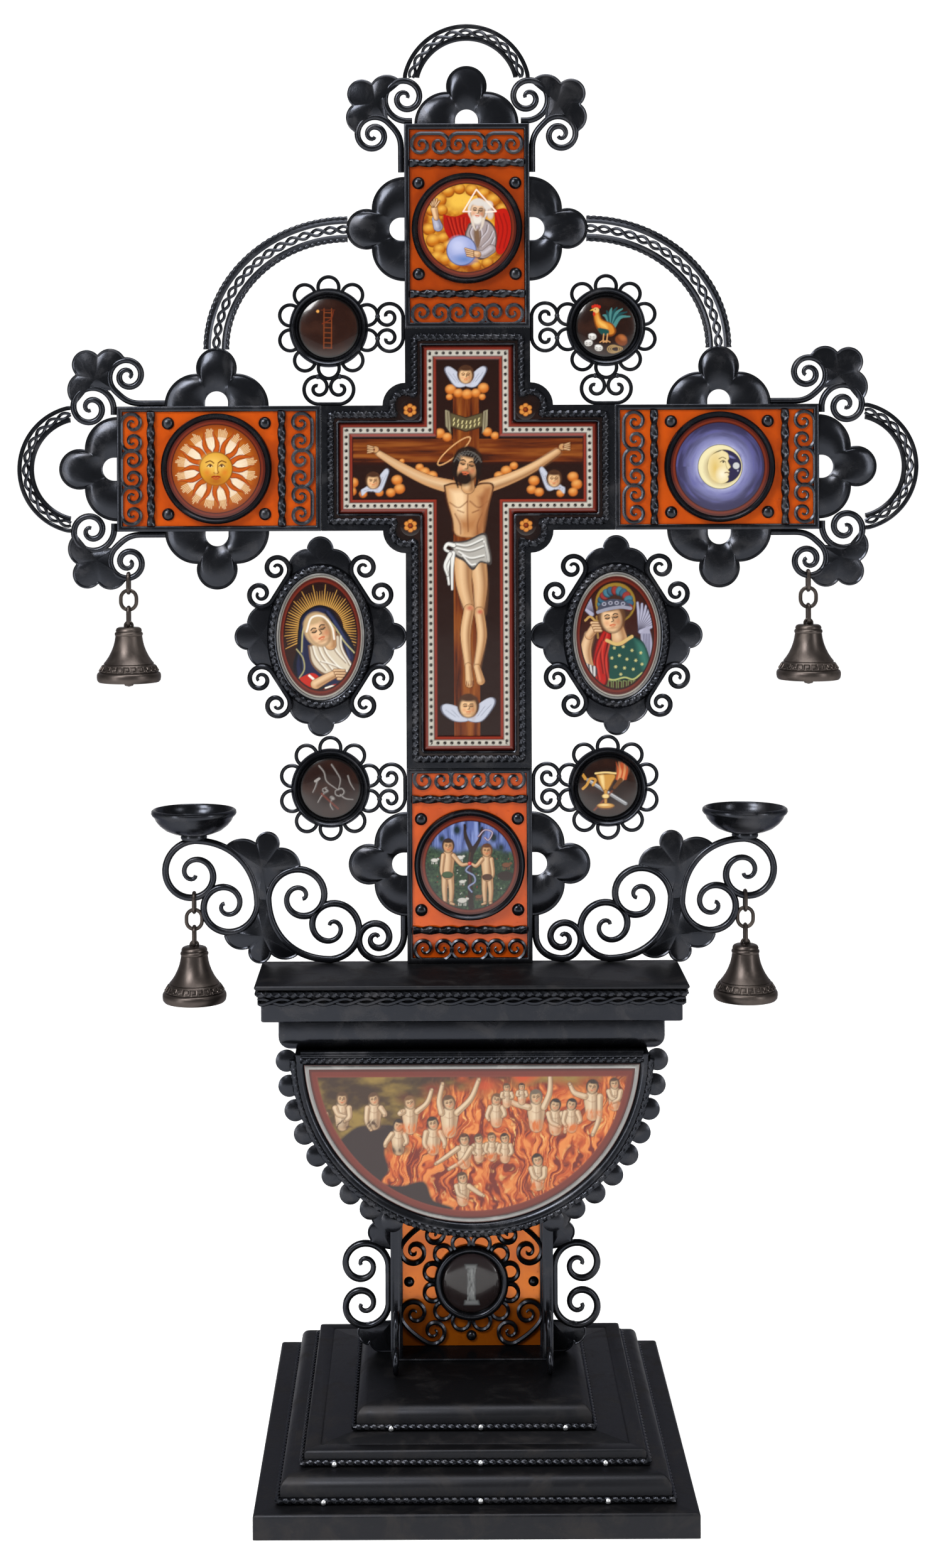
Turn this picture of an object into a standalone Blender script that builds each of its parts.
# A standing iron cross with enamel plaques, candle pans and hanging bells.
# Metres, +Z up, +X to the viewer's right, front towards -Y, origin at the middle of the base's underside.

import math

import bmesh
import bpy
from mathutils import Matrix

for item in list(bpy.data.objects):
    bpy.data.objects.remove(item, do_unlink=True)

# Clearances and stock
GAP = 0.0003  # between pieces that touch
SINK = 0.0012  # how far a shape runs into the one that it is welded to
WELD = 0.00002
BAR_RADIUS = 0.0024  # scroll bar of the candle arms and brackets
CURL_RADIUS = 0.0022  # scroll bar of the corner ornaments
FINE_RADIUS = 0.0011  # wire of the petal rims
OVAL_WIRE = 0.0018
LINK_RADIUS = 0.0012
EYE_SHARE = 0.6  # bar thickness at a scroll's eye, as a share of the bar
SHEET = 0.002  # leaf and bracket plates

# Base, in steps from the floor up
SLAB_WIDTH = 0.320
SLAB_DEPTH = 0.340
SLAB_HEIGHT = 0.018
LOWER_MOLDING_INSET = 0.0185
LOWER_MOLDING_TOP = 0.0365
MIDDLE_SLAB_WIDTH = 0.250
MIDDLE_SLAB_DEPTH = 0.260
MIDDLE_SLAB_TOP = 0.0475
UPPER_MOLDING_INSET = 0.037
PLATEAU = 0.0645
OVOLO = 0.008
ROPE = 0.0038
ROPE_REACH = 0.0035

# Pedestal
POST_WIDTH = 0.126
POST_BACK = 0.055
POST_WALL = 0.0062
POST_FLOOR = 0.0015
POST_PANEL_Y = 0.0265
PANEL_SHEET = 0.0013
MEDALLION_Z = 0.117
MEDALLION_RADIUS = 0.0295
MEDALLION_RIM = 0.0052
BRACKET_Y = 0.020
BRACKET_REACH = 0.020
BRACKET_RISE = 0.0157
BRACKET_Z = 0.1175
BRACKET_LEAF_REACH = 0.018
BRACKET_LEAF_RISE = 0.030
BRACKET_LEAF_SEAT = 0.004  # how far each leaf runs in behind the scroll
# Lobes of the bracket leaves, from the scroll's crown or keel: centre, radius, first and last angle
BRACKET_UPPER_LOBES = ((0.0100, 0.009, 0.0085, -40, 60), (0.0085, 0.021, 0.0072, -20, 90))
BRACKET_LOWER_LOBES = ((0.0175, -0.005, 0.0095, 20, -80),)
BRACKET_HEEL = (0.0085, -0.011)
BRACE_X = 0.0595
BRACE_UPPER_Z = 0.0965
BRACE_UPPER_RADIUS = 0.010
BRACE_LOWER_RADIUS = 0.012
BRACE_LOWER_REACH = 0.031

# Lunette case and the shelf on it
CASE_RADIUS = 0.1355
CASE_KEEL = 0.1809  # height of the case's lowest point
CASE_FRONT = -0.050
CASE_BACK = 0.034
CASE_RIM = 0.0065
CASE_HEAD = 0.0077
CASE_POCKET = 0.0053
SCALLOP_RADIUS = 0.0084
SCALLOP_SET_OUT = 0.0065  # how far the scallops' centres stand outside the case
SCALLOPS_A_SIDE = 9
SCALLOP_PITCH = 7.8
SCALLOP_FIRST = 2.0
SCALLOP_FRONT = -0.046
COVE_WIDTH = 0.297
COVE_HEIGHT = 0.0256
COVE_ROUND = 0.011
FASCIA_WIDTH = 0.322
FASCIA_HEIGHT = 0.0144
SHELF_WIDTH = 0.332
SHELF_BAND_WIDTH = 0.3285
SHELF_SHEET = 0.0036
SHELF_HEIGHT = 0.0146
SHELF_FRONT = -0.0575

# Cross, its heights measured from the shelf or from the arms' middle
CROSS_FRONT = 0.0225
CROSS_DEPTH = 0.012
CROSS_BAR = 0.0995  # width of every limb
CROSS_HEIGHT = 0.6675
ARMS_HEIGHT = 0.394
ARMS_REACH = 0.279
CROSSING_RISE = 0.111
CROSSING_DROP = 0.2385
CROSSING_REACH = 0.1165
CORNER_FILL = 0.018
CROSSING_RIM = 0.0132
PANEL_RIM = 0.004
PANEL_POCKET = 0.0045
PLAQUE_SHEET = 0.002
ROUNDEL_RADIUS = 0.044
ROUNDEL_PICTURE = 0.0365
ROUNDEL_PROUD = 0.004
ROUNDEL_TOP_HEIGHT = 0.5843
ROUNDEL_ARM_X = 0.200
ROUNDEL_FOOT_HEIGHT = 0.0785

# Trefoil plates on the limbs
TREFOIL_HALF = 0.040
TREFOIL_HEIGHT = 0.045
TREFOIL_LOBE = 0.0147
TREFOIL_SIDE = 0.0245
TREFOIL_NOTCH_HALF = 0.010
TREFOIL_NOTCH_RISE = 0.0128
TREFOIL_SHEET = 0.003

# Corner ornaments, drawn for the upper left corner of an upright limb
END_CURL = (0.0010, 0.0213)
END_CURL_RADIUS = 0.0184
SIDE_CURL = (-0.0245, -0.0083)
SIDE_CURL_RADIUS = 0.0155
CURL_EYE = 0.0018
SIDE_STEM = 0.038
# Lobes of the leaf behind the scrolls: centre, radius, first and last angle
CORNER_LEAF_LOBES = ((-0.0135, 0.0253, 0.0135, 35, 150), (-0.0335, 0.0243, 0.0108, 52, 226),
                     (-0.0335, 0.0056, 0.0118, 125, 238))

# Arches
ARCH_RISE = 0.028
ARCH_OUTER = 0.052
ARCH_BAND = 0.0135
ARCH_DEPTH = 0.005
ARCH_WEB = 0.0024
ARCH_EDGE = 0.0042
ARCH_END_ANGLE = 14
WING_BAND = 0.021
WING_EDGE = 0.0062

# Petal medallions
PETAL_X = 0.1105
PETAL_UPPER_RISE = 0.112
PETAL_LOWER_DROP = 0.255
PETAL_RING = 0.0315
PETAL_DISC = 0.0245
PETAL_COUNT = 10
PETAL_SEAT = 0.0322
PETAL_LOOP = 0.0083
PETAL_OPEN = 130  # degrees each side of a petal's tip
PETAL_RING_DEPTH = 0.009
TIE_RISE = 0.0088
TIE_SET_IN = 0.0015  # how far a tie reaches in past the petal tips

# Oval plaques
OVAL_X = 0.118
OVAL_DROP = 0.134
OVAL_HALF_WIDTH = 0.0427
OVAL_HALF_HEIGHT = 0.0583
OVAL_BAND = 0.009
OVAL_DEPTH = 0.009
OVAL_LEAF_HALF = 0.025
OVAL_LEAF_LOBE = 0.010
OVAL_LEAF_SIDE = 0.015
OVAL_CURL_REACH = 0.011
OVAL_CURL_RISE = 0.012
OVAL_CURL_SEAT = 41  # degrees round the ellipse from its side

# Candle arms
PAN_X = 0.2195
OUTER_UPPER_HEIGHT = 0.0713
OUTER_UPPER_RADIUS = 0.0265
OUTER_LOWER_X = 0.1940
OUTER_LOWER_HEIGHT = 0.0463
OUTER_LOWER_RADIUS = 0.025
INNER_UPPER_X = 0.1345
INNER_UPPER_HEIGHT = 0.0523
INNER_UPPER_RADIUS = 0.026
INNER_LOWER_X = 0.1105
INNER_LOWER_RADIUS = 0.026
HOOK_RADIUS = 0.0165
HOOK_HEIGHT = 0.0375
SCROLL_EYE = 0.0018
# Lobes of the leaves between the scrolls: centre from where the scrolls meet, radius, first and last angle
UPPER_LEAF_LOBES = ((-0.0145, 0.0300, 0.0150, 175, 82), (-0.0040, 0.0490, 0.0088, 201, 3),
                    (0.0160, 0.0345, 0.0178, 125, 45))
LOWER_LEAF_LOBES = ((0.0170, -0.0210, 0.0135, -15, -105), (0.0025, -0.0370, 0.0085, 25, -180),
                    (-0.0175, -0.0270, 0.0155, -42, -128))
LOBE_STEPS = 3
PAN_RADIUS = 0.034
PAN_HEIGHT = 0.024
PAN_LIP = 0.003
PAN_FOOT = 0.006

# Bells
BELL_RADIUS = 0.0255
BELL_HEIGHT = 0.0435
# Bell and clapper profiles: shares of the radius, and of the height down from the crown
BELL_OUTSIDE = ((0, 0), (0.352, 0), (0.44, 0.069), (0.484, 0.264), (0.65, 0.494), (0.82, 0.667),
                (0.97, 0.747), (1, 0.897), (0.96, 1))
BELL_INSIDE = ((0.7255, 1), (0.60, 0.690), (0.33, 0.276), (0, 0.207))
CLAPPER = ((0, 0.138), (0.047, 0.138), (0.047, 0.897), (0.165, 1.0), (0, 1.092))
LINK_HALF = 0.0042
LINK_LENGTH = 0.0155
UPPER_LINKS = 3
LOWER_LINKS = 3

CASE_TOP = CASE_KEEL + CASE_RADIUS
SCALLOP_REACH = CASE_RADIUS + SCALLOP_SET_OUT
COVE_TOP = CASE_TOP + COVE_HEIGHT
FASCIA_TOP = COVE_TOP + FASCIA_HEIGHT
SHELF_TOP = FASCIA_TOP + SHELF_HEIGHT
CROSS_TOP = SHELF_TOP + CROSS_HEIGHT
ARMS_Z = SHELF_TOP + ARMS_HEIGHT
CROSSING_TOP = ARMS_Z + CROSSING_RISE
CROSSING_FOOT = ARMS_Z - CROSSING_DROP
ROUNDEL_TOP_Z = SHELF_TOP + ROUNDEL_TOP_HEIGHT
ROUNDEL_FOOT_Z = SHELF_TOP + ROUNDEL_FOOT_HEIGHT
PETAL_UPPER_Z = ARMS_Z + PETAL_UPPER_RISE
PETAL_LOWER_Z = ARMS_Z - PETAL_LOWER_DROP
OVAL_Z = ARMS_Z - OVAL_DROP
OUTER_UPPER_Z = SHELF_TOP + OUTER_UPPER_HEIGHT
OUTER_LOWER = (OUTER_LOWER_X, SHELF_TOP + OUTER_LOWER_HEIGHT)
INNER_UPPER = (INNER_UPPER_X, SHELF_TOP + INNER_UPPER_HEIGHT)
HOOK_TOP_Z = SHELF_TOP + HOOK_HEIGHT
CROSS_BACK = CROSS_FRONT + CROSS_DEPTH
MID_Y = CROSS_FRONT + CROSS_DEPTH / 2
BAR_HALF = CROSS_BAR / 2
POST_SIDE = POST_WIDTH / 2

parts = bpy.data.collections.new("iron_devotional_cross")
helpers = bpy.data.collections.new("working_shapes")
for collection in (parts, helpers):
    bpy.context.scene.collection.children.link(collection)


def material(name, colour, roughness, metallic):
    made = bpy.data.materials.new(name)
    made.use_nodes = True
    shader = made.node_tree.nodes["Principled BSDF"]
    shader.inputs["Base Color"].default_value = (*colour, 1)
    shader.inputs["Roughness"].default_value = roughness
    shader.inputs["Metallic"].default_value = metallic
    return made


IRON = material("blackened_iron", (0.022, 0.022, 0.025), 0.42, 0.9)
WORN_IRON = material("worn_brown_iron", (0.060, 0.045, 0.038), 0.5, 0.9)
BELL_IRON = material("bell_iron", (0.050, 0.040, 0.034), 0.48, 0.9)
AMBER = material("amber_enamel", (0.36, 0.055, 0.006), 0.15, 0.0)
PICTURE = material("painted_enamel", (0.24, 0.09, 0.03), 0.2, 0.0)
DARK_PICTURE = material("dark_painted_enamel", (0.035, 0.018, 0.012), 0.22, 0.0)

# A flat drawing (x, y) stands up as (x, z), and its own height turns towards the viewer
STANDING = Matrix.Rotation(math.radians(90), 4, "X")


def upright(y):
    return Matrix.Translation((0, y, 0)) @ STANDING


def held(obj):
    helpers.objects.link(obj)
    obj.hide_render = True
    obj.display_type = "WIRE"
    return obj


def settle(obj):
    # The evaluated mesh of a curve or of an object with modifiers, welded, in world space
    bpy.context.view_layer.update()
    graph = bpy.context.evaluated_depsgraph_get()
    mesh = bpy.data.meshes.new_from_object(obj.evaluated_get(graph))
    mesh.transform(obj.matrix_world)
    work = bmesh.new()
    work.from_mesh(mesh)
    bmesh.ops.remove_doubles(work, verts=work.verts, dist=WELD)
    bmesh.ops.recalc_face_normals(work, faces=work.faces)
    work.to_mesh(mesh)
    work.free()
    bpy.data.objects.remove(obj, do_unlink=True)
    return held(bpy.data.objects.new("shape", mesh))


def join_all(pieces, operation="UNION"):
    whole = pieces[0]
    for piece in pieces[1:]:
        modifier = whole.modifiers.new("join", "BOOLEAN")
        modifier.operation = operation
        modifier.object = piece
    solid = settle(whole)
    for piece in pieces[1:]:
        bpy.data.objects.remove(piece, do_unlink=True)
    return solid


def cut(solid, *cutters):
    return join_all([solid, *cutters], "DIFFERENCE")


def node(name, solid, look):
    helpers.objects.unlink(solid)
    parts.objects.link(solid)
    solid.name = name
    solid.data.name = name
    solid.hide_render = False
    solid.display_type = "TEXTURED"
    solid.data.materials.clear()
    solid.data.materials.append(look)
    solid.data.shade_smooth()
    solid.data.set_sharp_from_angle(angle=math.radians(40))
    return solid


def block(x0, x1, y0, y1, z0, z1, rounded=None, radius=0.0, steps=3):
    # A box; rounded picks the edges that get a radius, by a test on each edge
    work = bmesh.new()
    bmesh.ops.create_cube(work, size=1)
    bmesh.ops.scale(work, vec=(x1 - x0, y1 - y0, z1 - z0), verts=work.verts)
    bmesh.ops.translate(work, vec=((x0 + x1) / 2, (y0 + y1) / 2, (z0 + z1) / 2), verts=work.verts)
    if rounded:
        edges = [edge for edge in work.edges if rounded(edge)]
        bmesh.ops.bevel(work, geom=edges, offset=radius, segments=steps, profile=0.5, affect="EDGES")
    mesh = bpy.data.meshes.new("block")
    work.to_mesh(mesh)
    work.free()
    return held(bpy.data.objects.new("shape", mesh))


def at_height(z):
    return lambda edge: all(abs(vert.co.z - z) < GAP for vert in edge.verts)


def spline_of(curve, points, closed, radii=None):
    spline = curve.splines.new("POLY")
    spline.points.add(len(points) - 1)
    for index, (x, z) in enumerate(points):
        spline.points[index].co = (x, z, 0, 1)
        if radii:
            spline.points[index].radius = radii[index]
    spline.use_cyclic_u = closed


def prism(outlines, y0, y1):
    # Flat outlines in X and Z, any after the first one being holes, from y0 back to y1
    curve = bpy.data.curves.new("outline", "CURVE")
    curve.dimensions = "2D"
    curve.fill_mode = "BOTH"
    curve.extrude = (y1 - y0) / 2
    for outline in outlines:
        spline_of(curve, outline, True)
    obj = held(bpy.data.objects.new("outline", curve))
    obj.matrix_world = upright((y0 + y1) / 2)
    return settle(obj)


def section(points):
    curve = bpy.data.curves.new("section", "CURVE")
    curve.dimensions = "2D"
    spline_of(curve, points, True)
    return held(bpy.data.objects.new("section", curve))


def lobes_at(origin, lobes, steps=LOBE_STEPS):
    points = []
    for x, z, radius, start, end in lobes:
        points += arc((origin[0] + x, origin[1] + z), radius, start, end, steps)
    return points


def swept(path, profile, closed=False, radii=None, place=None):
    # A profile carried along a flat path: its x points to the path's right-hand side, its y to the viewer
    curve = bpy.data.curves.new("path", "CURVE")
    curve.dimensions = "3D"
    curve.twist_mode = "Z_UP"
    curve.bevel_mode = "OBJECT"
    curve.bevel_object = profile
    curve.use_fill_caps = not closed
    spline_of(curve, path, closed, radii)
    obj = held(bpy.data.objects.new("path", curve))
    obj.matrix_world = place or upright(MID_Y)
    return settle(obj)


def round_section(sides):
    return section([turn(math.pi / 2 + math.tau * side / sides) for side in range(sides)])


def turn(angle, radius=1.0, centre=(0, 0)):
    return (centre[0] + radius * math.cos(angle), centre[1] + radius * math.sin(angle))


FOUR_SIDES = round_section(4)
THREE_SIDES = round_section(3)


def wire(points, radius, closed=False, tips=(), profile=FOUR_SIDES, place=None):
    # tips names the ends, "first" or "last", that thin down towards a scroll's eye
    count = len(points)
    radii = []
    for index in range(count):
        share = 1.0
        if "first" in tips:
            share = min(share, EYE_SHARE + (1 - EYE_SHARE) * 2 * index / (count - 1))
        if "last" in tips:
            share = min(share, EYE_SHARE + (1 - EYE_SHARE) * 2 * (count - 1 - index) / (count - 1))
        radii.append(radius * share)
    return swept(points, profile, closed, radii, place)


def turned(profile, steps, place):
    # A profile (radius, height), from the axis down its outer side and back to the axis
    mesh = bpy.data.meshes.new("profile")
    edges = [(index, index + 1) for index in range(len(profile) - 1)]
    mesh.from_pydata([(radius, 0, height) for radius, height in profile], edges, [])
    obj = held(bpy.data.objects.new("profile", mesh))
    screw = obj.modifiers.new("turn", "SCREW")
    screw.steps = steps
    screw.render_steps = steps
    screw.use_merge_vertices = True
    screw.merge_threshold = WELD
    obj.matrix_world = place
    return settle(obj)


def facing(x, y, z):
    # Turned pieces that lie on an upright plate, their axis towards the viewer
    return Matrix.Translation((x, y, z)) @ STANDING


def arc(centre, radius, start, end, steps):
    step = (end - start) / steps
    return [turn(math.radians(start + step * index), radius, centre) for index in range(steps + 1)]


def curl_radius(outer, eye, turns, done):
    return outer + (eye - outer) * done / abs(turns)


def curl(centre, outer, eye, start, turns, step=45):
    # A scroll from its outside to its eye, turning counterclockwise when turns is positive
    count = round(abs(turns) * 360 / step)
    sense = math.copysign(step, turns)
    points = []
    for index in range(count + 1):
        radius = curl_radius(outer, eye, count, index)
        points.append(turn(math.radians(start + sense * index), radius, centre))
    return points


def bend(first, heading_out, last, heading_in, steps, pull=0.42):
    # The points between two ends of a smooth curve that leaves and arrives at the given headings
    reach = math.dist(first, last) * pull
    leave = turn(math.radians(heading_out), reach, first)
    arrive = turn(math.radians(heading_in + 180), reach, last)
    points = []
    for index in range(1, steps):
        t = index / steps
        shares = ((1 - t) ** 3, 3 * t * (1 - t) ** 2, 3 * t * t * (1 - t), t ** 3)
        ends = (first, leave, arrive, last)
        points.append(tuple(sum(share * end[axis] for share, end in zip(shares, ends)) for axis in (0, 1)))
    return points


def c_scroll(reach, rise, eye, turns=1.5, step=60):
    # Spine up the Z axis, both curls on the +X side, their centres at (reach, +rise) and (reach, -rise)
    upper = curl((reach, rise), reach, eye, 180, -turns, step)
    lower = [(x, -z) for x, z in upper]
    return upper[::-1] + lower


def placed(points, origin, angle=0, mirror=1):
    # Local points, first mirrored in x, then turned by the angle, then moved to the origin
    c, s = math.cos(math.radians(angle)), math.sin(math.radians(angle))
    return [
        (origin[0] + mirror * x * c - z * s, origin[1] + mirror * x * s + z * c)
        for x, z in points
    ]


def mirrored(points):
    return [(-x, z) for x, z in points]


SIDES = (("left", -1), ("right", 1))


def stepped_block(width, depth, foot, top, rope):
    # A moulding with a rounded upper edge, and a rope bead round its foot
    wall = block(-width / 2, width / 2, -depth / 2, depth / 2, foot, top, at_height(top), OVOLO)
    if not rope:
        return wall
    reach_x, reach_y = width / 2 + ROPE_REACH, depth / 2 + ROPE_REACH
    bead = block(-reach_x, reach_x, -reach_y, reach_y, foot, foot + ROPE)
    return join_all([wall, bead])


def make_base():
    slab = block(-SLAB_WIDTH / 2, SLAB_WIDTH / 2, -SLAB_DEPTH / 2, SLAB_DEPTH / 2, 0, SLAB_HEIGHT)
    node("base_slab", slab, WORN_IRON)
    lower_width = SLAB_WIDTH - 2 * LOWER_MOLDING_INSET
    lower_depth = SLAB_DEPTH - 2 * LOWER_MOLDING_INSET
    lower = stepped_block(lower_width, lower_depth, SLAB_HEIGHT + GAP, LOWER_MOLDING_TOP, True)
    node("base_lower_molding", lower, WORN_IRON)
    middle_foot = LOWER_MOLDING_TOP + GAP
    half_x, half_y = MIDDLE_SLAB_WIDTH / 2, MIDDLE_SLAB_DEPTH / 2
    middle = block(-half_x, half_x, -half_y, half_y, middle_foot, MIDDLE_SLAB_TOP)
    bead_x, bead_y = half_x + ROPE_REACH, half_y + ROPE_REACH
    bead = block(-bead_x, bead_x, -bead_y, bead_y, middle_foot, middle_foot + ROPE)
    node("base_middle_slab", join_all([middle, bead]), WORN_IRON)
    upper_width = MIDDLE_SLAB_WIDTH - 2 * UPPER_MOLDING_INSET
    upper_depth = MIDDLE_SLAB_DEPTH - 2 * UPPER_MOLDING_INSET
    upper = stepped_block(upper_width, upper_depth, MIDDLE_SLAB_TOP + GAP, PLATEAU, True)
    node("base_upper_molding", upper, WORN_IRON)


def case_underside(x, clearance=GAP):
    # Height of the lunette case's round underside at x
    return CASE_TOP - math.sqrt((CASE_RADIUS + clearance) ** 2 - x ** 2)


def make_pedestal():
    foot = PLATEAU + GAP
    pocket_half = POST_SIDE - POST_WALL
    pocket_back = POST_PANEL_Y + PANEL_SHEET + GAP
    outline_top = [(x, case_underside(x)) for x in spread(-POST_SIDE, POST_SIDE, 8)]
    shell = prism([[(POST_SIDE, foot), (-POST_SIDE, foot)] + outline_top], 0, POST_BACK)
    pocket = block(-pocket_half, pocket_half, -GAP, pocket_back, foot + POST_FLOOR, CASE_TOP)
    node("pedestal_post", cut(shell, pocket), IRON)
    panel_half = pocket_half - GAP
    panel_foot = foot + POST_FLOOR + GAP
    panel_top = [(x, case_underside(x)) for x in spread(-panel_half, panel_half, 8)]
    panel = prism([[(panel_half, panel_foot), (-panel_half, panel_foot)] + panel_top],
                  POST_PANEL_Y, POST_PANEL_Y + PANEL_SHEET)
    node("pedestal_panel", panel, AMBER)
    seat = facing(0, POST_PANEL_Y - GAP, MEDALLION_Z)
    inner = MEDALLION_RADIUS - MEDALLION_RIM
    rim = [(MEDALLION_RADIUS, 0), (MEDALLION_RADIUS, 0.0025), (MEDALLION_RADIUS - 0.0026, 0.006),
           (inner, 0.004), (inner, 0), (MEDALLION_RADIUS, 0)]
    node("pedestal_medallion_ring", turned(rim[::-1], 16, seat), IRON)
    disc_radius = inner - GAP
    dome = [(0, 0.0055), (disc_radius * 0.6, 0.0045), (disc_radius, 0.0015), (disc_radius, 0), (0, 0)]
    node("pedestal_medallion", turned(dome, 16, seat), DARK_PICTURE)


def spread(first, last, steps):
    return [first + (last - first) * index / steps for index in range(steps + 1)]


def make_brackets():
    # Side brackets: a C scroll standing off the post, with a leaf above and one below
    spine = GAP + BAR_RADIUS
    unit = c_scroll(BRACKET_REACH, BRACKET_RISE, SCROLL_EYE, step=45)
    scroll = [(spine + x, BRACKET_Z + z) for x, z in unit]
    crown = BRACKET_Z + BRACKET_RISE + curl_radius(BRACKET_REACH, SCROLL_EYE, 1.5, 0.25)
    keel = 2 * BRACKET_Z - crown
    foot = PLATEAU + GAP
    seat = BRACKET_LEAF_SEAT
    heel = (BRACKET_HEEL[0], keel + BRACKET_HEEL[1])
    upper_leaf = ([(GAP, crown - seat), (BRACKET_LEAF_REACH, crown - seat / 4)]
                  + lobes_at((0, crown), BRACKET_UPPER_LOBES, 4) + [(GAP, crown + BRACKET_LEAF_RISE)])
    lower_leaf = ([(GAP, keel + seat), (BRACKET_LEAF_REACH, keel + seat * 3 / 4)]
                  + lobes_at((0, keel), BRACKET_LOWER_LOBES, 4)
                  + arc(heel, heel[1] - foot, 0, -90, 4) + [(GAP, foot)])
    for side, sign in SIDES:
        pieces = []
        for outline in (upper_leaf, lower_leaf):
            leaf = [(sign * (POST_SIDE + x), z) for x, z in outline]
            pieces.append(prism([leaf], BRACKET_Y - SHEET / 2, BRACKET_Y + SHEET / 2))
        path = [(sign * (POST_SIDE + x), z) for x, z in scroll]
        pieces.append(wire(path, BAR_RADIUS, tips=("first", "last"), place=upright(BRACKET_Y)))
        node("pedestal_bracket_" + side, join_all(pieces), IRON)


def make_braces():
    # Front braces: an S scroll in a plane that runs front to back, standing on the plateau
    turns = 1.5
    upper_reach = GAP + CURL_RADIUS + curl_radius(BRACE_UPPER_RADIUS, CURL_EYE, turns, 0.5)
    lower_z = PLATEAU + GAP + CURL_RADIUS + curl_radius(BRACE_LOWER_RADIUS, CURL_EYE, turns, 0.25)
    upper = curl((upper_reach, BRACE_UPPER_Z), BRACE_UPPER_RADIUS, CURL_EYE, 0, turns)
    lower = curl((BRACE_LOWER_REACH, lower_z), BRACE_LOWER_RADIUS, CURL_EYE, 180, turns)
    path = upper[::-1] + bend(upper[0], -90, lower[0], -90, 3) + lower
    # The path's x becomes -y, so the scroll reaches towards the viewer
    sideways = Matrix.Rotation(math.radians(-90), 4, "Z") @ STANDING
    for side, sign in SIDES:
        place = Matrix.Translation((sign * BRACE_X, 0, 0)) @ sideways
        scroll = wire(path, CURL_RADIUS, tips=("first", "last"), place=place)
        node("pedestal_brace_" + side, scroll, IRON)


def half_disc(radius, top, steps):
    # The part of a disc about the case's centre that lies below top
    start = -math.degrees(math.asin((CASE_TOP - top) / radius))
    return arc((0, CASE_TOP), radius, start, -180 - start, steps)


def make_lunette():
    drum = prism([half_disc(CASE_RADIUS, CASE_TOP, 20)], CASE_FRONT, CASE_BACK)
    pocket_floor = CASE_FRONT + CASE_POCKET
    pocket_radius = CASE_RADIUS - CASE_RIM
    pocket = prism([half_disc(pocket_radius, CASE_TOP - CASE_HEAD, 20)], CASE_FRONT - GAP, pocket_floor)
    outlines = []
    for _, sign in SIDES:
        edge = []
        for index in range(SCALLOPS_A_SIDE):
            angle = 180 + SCALLOP_FIRST + SCALLOP_PITCH * index
            centre = turn(math.radians(angle), SCALLOP_REACH, (0, CASE_TOP))
            edge += arc(centre, SCALLOP_RADIUS, angle - 105, angle + 105, 3)
        last = 180 + SCALLOP_FIRST + SCALLOP_PITCH * (SCALLOPS_A_SIDE - 1)
        inside = arc((0, CASE_TOP), CASE_RADIUS - 4 * SINK, last, 180 + SCALLOP_FIRST, 8)
        outlines.append([(-sign * x, z) for x, z in edge + inside])
    scallops = [prism([outline], SCALLOP_FRONT, SCALLOP_FRONT + SHEET) for outline in outlines]
    node("lunette_case", join_all([cut(drum, pocket), *scallops]), IRON)
    plaque_top = CASE_TOP - CASE_HEAD - GAP
    plaque_back = pocket_floor - GAP
    plaque = prism([half_disc(pocket_radius - GAP, plaque_top, 20)], plaque_back - PLAQUE_SHEET, plaque_back)
    node("lunette_plaque", plaque, PICTURE)


def shelf_block(width, foot, top, set_back, rounded=None, radius=0.0):
    return block(-width / 2, width / 2, SHELF_FRONT + set_back, CROSS_BACK, foot, top, rounded, radius)


def make_shelf():
    cove_set_back = (SHELF_WIDTH - COVE_WIDTH) / 2
    fascia_set_back = (SHELF_WIDTH - FASCIA_WIDTH) / 2
    band_set_back = (SHELF_WIDTH - SHELF_BAND_WIDTH) / 2
    cove_foot = CASE_TOP + GAP
    cove = shelf_block(COVE_WIDTH, cove_foot, COVE_TOP, cove_set_back, at_height(cove_foot), COVE_ROUND)
    node("shelf_cove", cove, IRON)
    fascia = shelf_block(FASCIA_WIDTH, COVE_TOP + GAP, FASCIA_TOP, fascia_set_back)
    node("shelf_fascia", fascia, IRON)
    sheet = shelf_block(SHELF_WIDTH, SHELF_TOP - SHELF_SHEET, SHELF_TOP, 0)
    band = shelf_block(SHELF_BAND_WIDTH, FASCIA_TOP + GAP, SHELF_TOP - SHELF_SHEET / 2, band_set_back)
    node("shelf_top", join_all([sheet, band]), WORN_IRON)


def trefoil(origin, angle):
    # A three-lobed plate with an arched notch, its foot sunk into the limb
    side_centre = TREFOIL_HALF - TREFOIL_SIDE
    lobe_z = TREFOIL_HEIGHT - TREFOIL_LOBE
    lobe_foot = math.degrees(math.asin((lobe_z - TREFOIL_SIDE) / TREFOIL_LOBE))
    right = [(TREFOIL_HALF, -SINK)] + arc((side_centre, 0), TREFOIL_SIDE, 0, 86, 3)
    lobe = arc((0, lobe_z), TREFOIL_LOBE, -lobe_foot, 180 + lobe_foot, 6)
    left = mirrored(right)[::-1]
    notch_side = TREFOIL_NOTCH_RISE - TREFOIL_NOTCH_HALF
    notch = arc((0, notch_side), TREFOIL_NOTCH_HALF, 180, 0, 4)
    outline = right + lobe + left + [(-TREFOIL_NOTCH_HALF, -SINK)] + notch + [(TREFOIL_NOTCH_HALF, -SINK)]
    half = TREFOIL_SHEET / 2
    return prism([placed(outline, origin, angle)], MID_Y - half, MID_Y + half)


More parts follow.
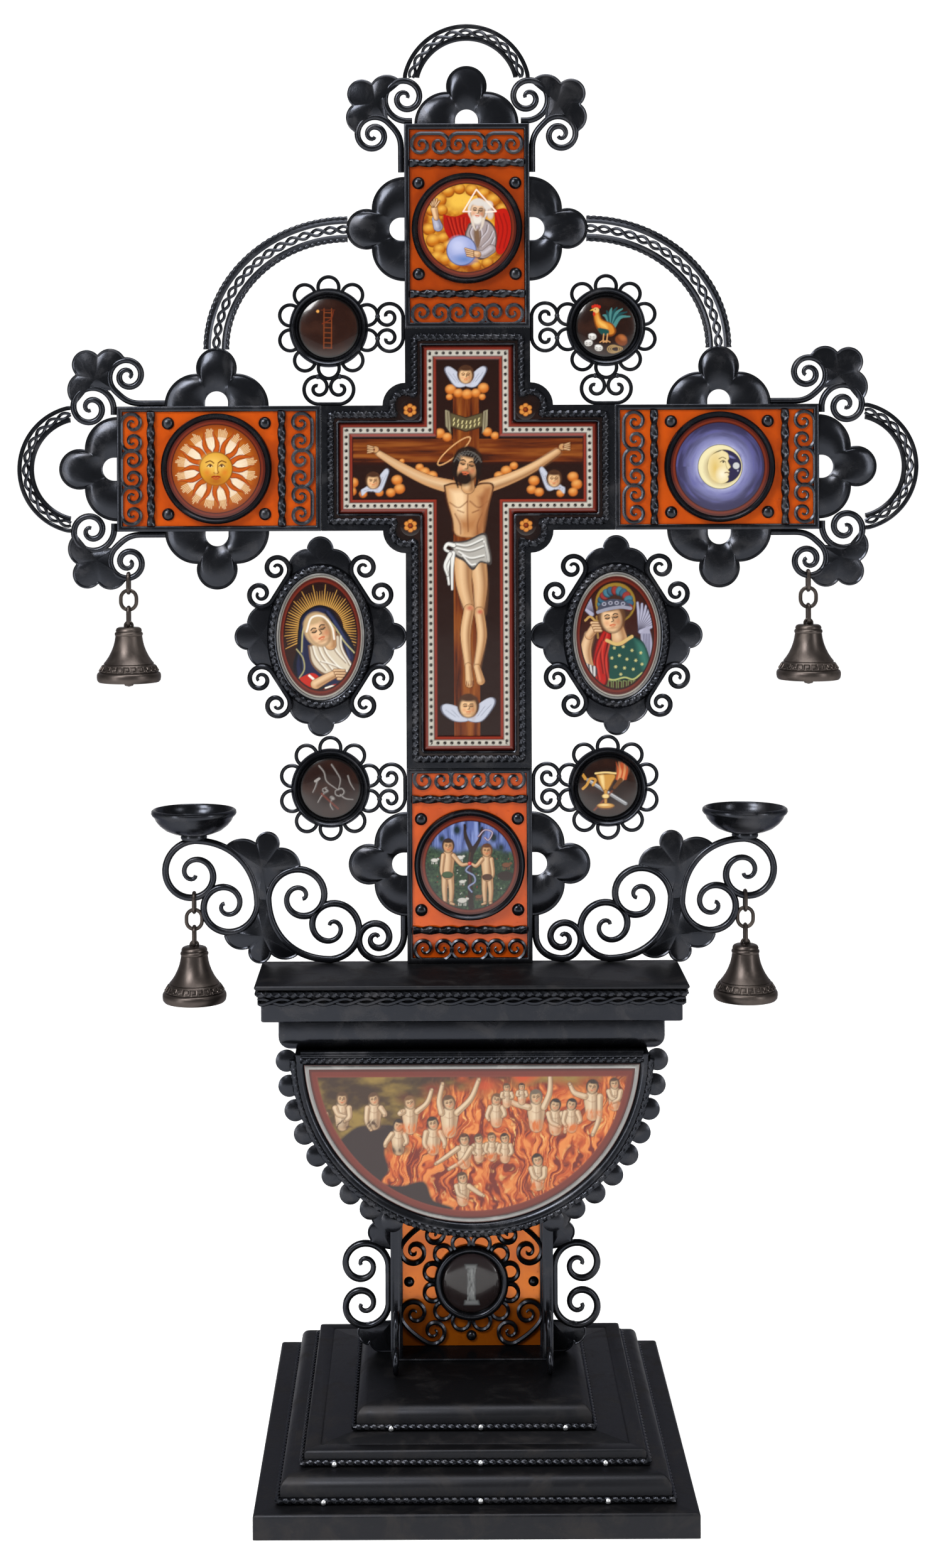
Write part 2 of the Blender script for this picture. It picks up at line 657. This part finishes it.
def panel_frame(x0, x1, z0, z1, trefoils):
    body = block(x0, x1, CROSS_FRONT, CROSS_BACK, z0, z1)
    pocket = block(x0 + PANEL_RIM, x1 - PANEL_RIM, CROSS_FRONT - GAP, CROSS_FRONT + PANEL_POCKET,
                   z0 + PANEL_RIM, z1 - PANEL_RIM)
    return join_all([cut(body, pocket), *(trefoil(origin, angle) for origin, angle in trefoils)])


def panel_sheet(x0, x1, z0, z1):
    back = CROSS_FRONT + PANEL_POCKET - GAP
    inset = PANEL_RIM + GAP
    return block(x0 + inset, x1 - inset, back - PANEL_SHEET, back, z0 + inset, z1 - inset)


def roundel(x, z):
    # A thick round rim about a slightly domed picture, on the amber sheet
    seat_y = CROSS_FRONT + PANEL_POCKET - PANEL_SHEET - 2 * GAP
    depth = seat_y - CROSS_FRONT + ROUNDEL_PROUD
    rim = ROUNDEL_RADIUS - ROUNDEL_PICTURE
    profile = [(0, depth * 0.75), (ROUNDEL_PICTURE * 0.7, depth * 0.66), (ROUNDEL_PICTURE, depth * 0.5),
               (ROUNDEL_PICTURE + rim * 0.45, depth), (ROUNDEL_RADIUS, depth * 0.55),
               (ROUNDEL_RADIUS, 0), (0, 0)]
    return turned(profile, 20, facing(x, seat_y, z))


def make_panels():
    top_foot = CROSSING_TOP + GAP
    arm_start = CROSSING_REACH + GAP
    arm_foot, arm_top = ARMS_Z - BAR_HALF, ARMS_Z + BAR_HALF
    foot_foot, foot_top = SHELF_TOP + GAP, CROSSING_FOOT - GAP
    limbs = {
        "top": ((-BAR_HALF, BAR_HALF, top_foot, CROSS_TOP), (0, ROUNDEL_TOP_Z),
                [((0, CROSS_TOP), 0), ((-BAR_HALF, ROUNDEL_TOP_Z), 90), ((BAR_HALF, ROUNDEL_TOP_Z), -90)]),
        "bottom": ((-BAR_HALF, BAR_HALF, foot_foot, foot_top), (0, ROUNDEL_FOOT_Z),
                   [((-BAR_HALF, ROUNDEL_FOOT_Z), 90), ((BAR_HALF, ROUNDEL_FOOT_Z), -90)]),
    }
    for side, sign in SIDES:
        x0, x1 = sorted((sign * arm_start, sign * ARMS_REACH))
        trefoils = [((sign * ROUNDEL_ARM_X, arm_top), 0), ((sign * ROUNDEL_ARM_X, arm_foot), 180),
                    ((sign * ARMS_REACH, ARMS_Z), -90 * sign)]
        limbs[side] = ((x0, x1, arm_foot, arm_top), (sign * ROUNDEL_ARM_X, ARMS_Z), trefoils)
    for limb, (edges, centre, trefoils) in limbs.items():
        node(limb + "_panel_frame", panel_frame(*edges, trefoils), IRON)
        node(limb + "_amber_panel", panel_sheet(*edges), AMBER)
        node(limb + "_roundel", roundel(*centre), PICTURE)


def crossing_bars(inset, y0, y1):
    # The crossing's upright and level limbs, drawn in all round by inset
    half, reach = BAR_HALF - inset, CROSSING_REACH - inset
    return [
        block(-half, half, y0, y1, CROSSING_FOOT + inset, CROSSING_TOP - inset),
        block(-reach, reach, y0, y1, ARMS_Z - half, ARMS_Z + half),
    ]


def make_crossing():
    corners = [(x, ARMS_Z + z) for x in (-BAR_HALF, BAR_HALF) for z in (-BAR_HALF, BAR_HALF)]
    discs = [arc(corner, CORNER_FILL, 0, 360, 16)[:-1] for corner in corners]
    fills = [prism([disc], CROSS_FRONT, CROSS_BACK) for disc in discs]
    whole = join_all([*crossing_bars(0, CROSS_FRONT, CROSS_BACK), *fills])
    pocket = join_all(crossing_bars(CROSSING_RIM, CROSS_FRONT - GAP, CROSS_FRONT + PANEL_POCKET))
    node("crucifix_frame", cut(whole, pocket), IRON)
    back = CROSS_FRONT + PANEL_POCKET - GAP
    node("crucifix_plaque", join_all(crossing_bars(CROSSING_RIM + GAP, back - PLAQUE_SHEET, back)), PICTURE)


def corner_shapes():
    # The two scrolls and the leaf between them, for the upper left corner of an upright limb
    end_loop = curl(END_CURL, END_CURL_RADIUS, CURL_EYE, -90, -1.75)
    lead = (END_CURL[0] + END_CURL_RADIUS * 0.3, END_CURL[1] - END_CURL_RADIUS)
    stem_x = -GAP - CURL_RADIUS
    side_loop = curl(SIDE_CURL, SIDE_CURL_RADIUS, CURL_EYE, 45, 1.75)
    stem = [(stem_x, -SIDE_STEM), (stem_x, -SIDE_STEM / 2)]
    side_path = stem + bend(stem[1], 90, side_loop[0], 135, 3) + side_loop
    leaf = lobes_at((0, 0), CORNER_LEAF_LOBES) + side_loop[3::-1] + end_loop[2:4]
    return [lead] + end_loop, side_path, leaf


def make_corners():
    end_path, side_path, leaf = corner_shapes()
    top_corner = BAR_HALF
    corners = {
        "top_left_ornament": ((-top_corner, CROSS_TOP), lambda x, z: (x, z)),
        "top_right_ornament": ((top_corner, CROSS_TOP), lambda x, z: (-x, z)),
        "left_arm_upper_ornament": ((-ARMS_REACH, ARMS_Z + BAR_HALF), lambda x, z: (-z, -x)),
        "left_arm_lower_ornament": ((-ARMS_REACH, ARMS_Z - BAR_HALF), lambda x, z: (-z, x)),
        "right_arm_upper_ornament": ((ARMS_REACH, ARMS_Z + BAR_HALF), lambda x, z: (z, -x)),
        "right_arm_lower_ornament": ((ARMS_REACH, ARMS_Z - BAR_HALF), lambda x, z: (z, x)),
    }
    for name, (corner, turned_to) in corners.items():
        def moved(points):
            flat = [turned_to(x, z) for x, z in points]
            return [(corner[0] + x, corner[1] + z) for x, z in flat]
        pieces = [
            wire(moved(end_path), CURL_RADIUS, tips=("last",), profile=THREE_SIDES),
            wire(moved(side_path), CURL_RADIUS, tips=("last",), profile=THREE_SIDES),
            prism([moved(leaf)], MID_Y - SHEET / 2, MID_Y + SHEET / 2),
        ]
        node(name, join_all(pieces), IRON)


def band_section(width, edge):
    # Two thick edges with a thin web between them
    half, inner = width / 2, width / 2 - edge
    thick, thin = ARCH_DEPTH / 2, ARCH_WEB / 2
    right = [(half, -thick), (half, thick), (inner, thick), (inner, thin)]
    left = [(-inner, thin), (-inner, thick), (-half, thick), (-half, -thick)]
    return section(right + left + [(-inner, -thick), (-inner, -thin), (inner, -thin), (inner, -thick)])


def make_arches():
    middle = ARCH_OUTER - ARCH_BAND / 2
    seat = END_CURL[1] + curl_radius(END_CURL_RADIUS, CURL_EYE, 1.75, 0.5) + CURL_RADIUS + GAP
    ring = arc((0, ARCH_RISE), middle, ARCH_END_ANGLE, 180 - ARCH_END_ANGLE, 10)
    foot_x = ring[0][0]
    path = [(foot_x, seat)] + ring + [(-foot_x, seat)]
    profile = band_section(ARCH_BAND, ARCH_EDGE)
    ends = {"top_arch": ((0, CROSS_TOP), 0), "left_arch": ((-ARMS_REACH, ARMS_Z), 90),
            "right_arch": ((ARMS_REACH, ARMS_Z), -90)}
    for name, (origin, angle) in ends.items():
        node(name, swept(placed(path, origin, angle), profile), IRON)
    # The wings span from the trefoil on an arm to the trefoil on the top limb's side
    wing_profile = band_section(WING_BAND, WING_EDGE)
    hub_x = BAR_HALF + TREFOIL_HEIGHT + GAP
    hub_z = ARMS_Z + BAR_HALF + TREFOIL_HEIGHT + GAP
    span_x = ROUNDEL_ARM_X - hub_x
    span_z = ROUNDEL_TOP_Z - hub_z
    turns = [turn(angle) for angle in spread(0, math.pi / 2, 9)]
    quarter = [(hub_x + span_x * x, hub_z + span_z * z) for x, z in turns]
    for side, sign in SIDES:
        node("wing_arch_" + side, swept([(sign * x, z) for x, z in quarter], wing_profile), IRON)


def bead(first, last):
    # A drop of solder between two wires
    work = bmesh.new()
    bmesh.ops.create_icosphere(work, subdivisions=1, radius=math.dist(first, last) / 2 + FINE_RADIUS)
    middle = ((first[0] + last[0]) / 2, MID_Y, (first[1] + last[1]) / 2)
    bmesh.ops.translate(work, vec=middle, verts=work.verts)
    mesh = bpy.data.meshes.new("bead")
    work.to_mesh(mesh)
    work.free()
    return held(bpy.data.objects.new("shape", mesh))


def tie_reach(room, turns=1.5):
    # The reach of a C scroll whose bar's centre lines are room apart, spine to far side
    share = 0.5 / turns
    return (room - CURL_EYE * share) / (2 - share)


def petal_rim(x, z, ties):
    # A ring with petal loops all round, and C scrolls that tie it to the limbs; ties are (heading, room)
    inner = PETAL_DISC
    depth = PETAL_RING_DEPTH
    seat = depth * 0.11
    ring = [(PETAL_RING, seat), (PETAL_RING, depth * 0.45), (PETAL_RING - depth / 3, depth),
            (inner, depth * 0.6), (inner, seat), (PETAL_RING, seat)]
    pieces = [turned(ring[::-1], 16, facing(x, MID_Y + depth / 2, z))]
    corners = []
    for index in range(PETAL_COUNT):
        heading = 90 + 360 * index / PETAL_COUNT
        centre = turn(math.radians(heading), PETAL_SEAT, (x, z))
        loop = arc(centre, PETAL_LOOP, heading - PETAL_OPEN, heading + PETAL_OPEN, 4)
        corners += loop[1:-1]
        pieces.append(wire(loop, FINE_RADIUS, profile=THREE_SIDES))
    far = PETAL_SEAT + PETAL_LOOP - TIE_SET_IN
    for heading, room in ties:
        limb = room - GAP - FINE_RADIUS
        scroll = c_scroll(tie_reach(limb - far), TIE_RISE, CURL_EYE)
        pieces.append(wire(placed([(limb - x, z) for x, z in scroll], (x, z), heading), FINE_RADIUS,
                           profile=THREE_SIDES))
        for touch in placed([(far, TIE_RISE), (far, -TIE_RISE)], (x, z), heading):
            nearest = min(corners, key=lambda corner: math.dist(corner, touch))
            pieces.append(bead(touch, nearest))
    return join_all(pieces)


def make_medallions():
    room = PETAL_X - BAR_HALF
    down = PETAL_UPPER_Z - ARMS_Z - BAR_HALF
    for level, z in (("upper", PETAL_UPPER_Z), ("lower", PETAL_LOWER_Z)):
        for side, sign in SIDES:
            inward = 0 if sign < 0 else 180
            ties = [(inward, room)]
            if level == "upper":
                ties.append((-90, down))
            node(f"{level}_{side}_medallion_rim", petal_rim(sign * PETAL_X, z, ties), IRON)
            radius, depth = PETAL_DISC - GAP, PETAL_RING_DEPTH
            dome = [(0, depth * 0.72), (radius * 0.6, depth * 0.63), (radius, depth * 0.33),
                    (radius, depth * 0.11), (0, depth * 0.11)]
            seat = facing(sign * PETAL_X, MID_Y + depth / 2, z)
            node(f"{level}_{side}_medallion", turned(dome, 16, seat), DARK_PICTURE)


def ellipse(half_width, half_height, steps):
    points = [turn(math.tau * index / steps) for index in range(steps)]
    return [(half_width * x, half_height * z) for x, z in points]


def oval_leaf(tip, foot):
    # A small three-lobed plate from inside the oval ring out to its tip
    side = OVAL_LEAF_HALF - OVAL_LEAF_SIDE
    lobe_z = tip - OVAL_LEAF_LOBE
    shoulder = lobe_z - OVAL_LEAF_SIDE
    right = [(OVAL_LEAF_HALF, foot)] + arc((side, shoulder), OVAL_LEAF_SIDE, 0, 90, 3)
    lobe = arc((0, lobe_z), OVAL_LEAF_LOBE, 0, 180, 4)
    return right + lobe + mirrored(right)[::-1]


def make_ovals():
    tip_side = OVAL_X - BAR_HALF - GAP
    tip_foot = OVAL_Z - PETAL_LOWER_Z - PETAL_SEAT - PETAL_LOOP - FINE_RADIUS - GAP
    middle_x = OVAL_HALF_WIDTH - OVAL_BAND / 2
    middle_z = OVAL_HALF_HEIGHT - OVAL_BAND / 2
    half_band, half_depth = OVAL_BAND / 2, OVAL_DEPTH / 2
    profile = section([(half_band, -half_depth), (half_band, half_depth * 0.3), (half_band * 0.2, half_depth),
                       (-half_band, half_depth * 0.4), (-half_band, -half_depth)])
    leaves = [(0, tip_foot, middle_z), (180, tip_foot, middle_z),
              (90, tip_side, middle_x), (-90, tip_side, middle_x)]
    for side, sign in SIDES:
        centre = (sign * OVAL_X, OVAL_Z)
        ring = placed(ellipse(middle_x, middle_z, 20), centre)
        pieces = [swept(ring, profile, closed=True)]
        for angle, tip, foot in leaves:
            inside = foot * 0.86
            outline = placed(oval_leaf(tip, inside), centre, angle)
            pieces.append(prism([outline], MID_Y + half_depth - SHEET - GAP, MID_Y + half_depth - GAP))
        for seat in (OVAL_CURL_SEAT, 180 - OVAL_CURL_SEAT, 180 + OVAL_CURL_SEAT, -OVAL_CURL_SEAT):
            t = math.radians(seat)
            touch = (OVAL_HALF_WIDTH * math.cos(t), OVAL_HALF_HEIGHT * math.sin(t))
            heading = math.degrees(math.atan2(math.sin(t) / OVAL_HALF_HEIGHT, math.cos(t) / OVAL_HALF_WIDTH))
            scroll = placed(c_scroll(OVAL_CURL_REACH, OVAL_CURL_RISE, CURL_EYE), touch, heading)
            path = placed(scroll, centre)
            pieces.append(wire(path, OVAL_WIRE, tips=("first", "last"), profile=THREE_SIDES))
        node("oval_frame_" + side, join_all(pieces), IRON)
        inner_x, inner_z = OVAL_HALF_WIDTH - OVAL_BAND - GAP, OVAL_HALF_HEIGHT - OVAL_BAND - GAP
        plaque = prism([placed(ellipse(inner_x, inner_z, 20), centre)],
                       MID_Y - SHEET / 2, MID_Y + SHEET / 2)
        node("oval_plaque_" + side, plaque, PICTURE)


def candle_arm_paths():
    # Two C scrolls and a hook, for the right-hand side, standing on the shelf
    turns = 1.625
    floor = SHELF_TOP + GAP + BAR_RADIUS
    outer_upper = curl((PAN_X, OUTER_UPPER_Z), OUTER_UPPER_RADIUS, SCROLL_EYE, 90, -turns)
    outer_lower = curl(OUTER_LOWER, OUTER_LOWER_RADIUS, SCROLL_EYE, 180, turns)
    outer = outer_upper[::-1] + bend(outer_upper[0], 180, outer_lower[0], -90, 5) + outer_lower
    inner_upper = curl(INNER_UPPER, INNER_UPPER_RADIUS, SCROLL_EYE, 0, turns)
    inner_lower_centre = (INNER_LOWER_X, floor + INNER_LOWER_RADIUS)
    inner_lower = curl(inner_lower_centre, INNER_LOWER_RADIUS, SCROLL_EYE, -90, -turns)
    inner = inner_upper[::-1] + bend(inner_upper[0], -90, inner_lower[0], 180, 5) + inner_lower
    stem_x = BAR_HALF + GAP + BAR_RADIUS
    inner_side = curl_radius(INNER_LOWER_RADIUS, SCROLL_EYE, turns, 0.25)
    hook_side = curl_radius(HOOK_RADIUS, SCROLL_EYE, turns, 0.25)
    hook_x = INNER_LOWER_X - inner_side - hook_side
    hook_curl = curl((hook_x, floor + HOOK_RADIUS), HOOK_RADIUS, SCROLL_EYE, -90, turns)
    stem = [(stem_x, HOOK_TOP_Z), (stem_x, floor + HOOK_RADIUS * 1.2)]
    hook = stem + bend(stem[1], -90, hook_curl[0], 0, 3) + hook_curl
    return outer, inner, hook


def candle_arm_leaves(outer, inner):
    # Leaves that fill the two angles between the scrolls, above and below where they come closest
    outer_waist = outer.index(min(outer[10:20], key=lambda point: point[0]))
    inner_waist = inner.index(max(inner[8:18], key=lambda point: point[0]))
    meet = ((outer[outer_waist][0] + inner[inner_waist][0]) / 2, outer[outer_waist][1])
    upper = (outer[outer_waist - 3:outer_waist + 1] + inner[inner_waist + 1:inner_waist - 2:-1]
             + lobes_at(meet, UPPER_LEAF_LOBES))
    lower = (outer[outer_waist - 1:outer_waist + 3] + lobes_at(meet, LOWER_LEAF_LOBES)
             + inner[inner_waist + 3:inner_waist - 1:-1])
    return upper, lower


def candle_pan(x):
    crown = OUTER_UPPER_Z + OUTER_UPPER_RADIUS + BAR_RADIUS - SINK
    lip = crown + PAN_HEIGHT
    waist = PAN_RADIUS - PAN_LIP
    profile = [
        (0, crown + 0.0075), (PAN_RADIUS * 0.5, crown + 0.0095), (waist - 0.002, lip - 0.004),
        (waist, lip), (PAN_RADIUS, lip - PAN_LIP), (waist, lip - 2 * PAN_LIP - 0.0015),
        (PAN_RADIUS * 0.62, crown + 0.0065), (PAN_FOOT, crown + 0.0035), (PAN_FOOT, crown), (0, crown)]
    return turned(profile, 16, Matrix.Translation((x, MID_Y, 0)))


def make_candle_arms():
    outer, inner, hook = candle_arm_paths()
    leaves = candle_arm_leaves(outer, inner)
    for side, sign in SIDES:
        pieces = []
        for path, tips in ((outer, ("first", "last")), (inner, ("first", "last")), (hook, ("last",))):
            pieces.append(wire([(sign * x, z) for x, z in path], BAR_RADIUS, tips=tips))
        for leaf in leaves:
            outline = [(sign * x, z) for x, z in leaf]
            pieces.append(prism([outline], MID_Y - SHEET / 2, MID_Y + SHEET / 2))
        pieces.append(candle_pan(sign * PAN_X))
        node("candle_arm_" + side, join_all(pieces), IRON)


def link(x, top, length, edge_on):
    # A long ring, seen edge-on or face-on
    straight = length / 2 - LINK_HALF
    low = top - length + LINK_HALF
    points = arc((0, low + 2 * straight), LINK_HALF, 0, 180, 3) + arc((0, low), LINK_HALF, 180, 360, 3)
    face = Matrix.Rotation(math.radians(90 if edge_on else 0), 4, "Z")
    place = Matrix.Translation((x, MID_Y, 0)) @ face @ STANDING
    return wire(points, LINK_RADIUS, closed=True, profile=THREE_SIDES, place=place)


def bell(name, x, hang_z, hang_radius, links):
    # The chain hangs round a bar whose middle is at hang_z
    top = hang_z + hang_radius + GAP + LINK_RADIUS
    pieces = []
    for index in range(links):
        pieces.append(link(x, top, LINK_LENGTH, index % 2 == 0))
        top -= LINK_LENGTH - 2 * LINK_RADIUS * 0.85
    crown = top - LINK_RADIUS * 2

    def drawn(shares):
        return [(BELL_RADIUS * across, crown - BELL_HEIGHT * down) for across, down in shares]

    place = Matrix.Translation((x, MID_Y, 0))
    pieces.append(turned(drawn(BELL_OUTSIDE + BELL_INSIDE), 12, place))
    pieces.append(turned(drawn(CLAPPER), 6, place))
    stud, sunk = LINK_RADIUS * 2, crown - SINK * 2
    eye = [(0, top + LINK_RADIUS), (stud, top), (stud, sunk), (0, sunk)]
    pieces.append(turned(eye, 6, place))
    node(name, join_all(pieces), BELL_IRON)


def make_bells():
    loop_x = ARMS_REACH + SIDE_CURL[1]
    loop_turn = curl_radius(SIDE_CURL_RADIUS, CURL_EYE, 1.75, 0.375)
    upper_z = ARMS_Z - BAR_HALF - abs(SIDE_CURL[0]) - loop_turn
    lower_turn = curl_radius(OUTER_UPPER_RADIUS, SCROLL_EYE, 1.625, 0.5)
    lower_z = OUTER_UPPER_Z - lower_turn
    for side, sign in SIDES:
        bell("upper_bell_" + side, sign * loop_x, upper_z, CURL_RADIUS, UPPER_LINKS)
        bell("lower_bell_" + side, sign * PAN_X, lower_z, BAR_RADIUS, LOWER_LINKS)


make_base()
make_pedestal()
make_brackets()
make_braces()
make_lunette()
make_shelf()
make_panels()
make_crossing()
make_corners()
make_arches()
make_medallions()
make_ovals()
make_candle_arms()
make_bells()

for leftover in list(helpers.objects):
    bpy.data.objects.remove(leftover, do_unlink=True)
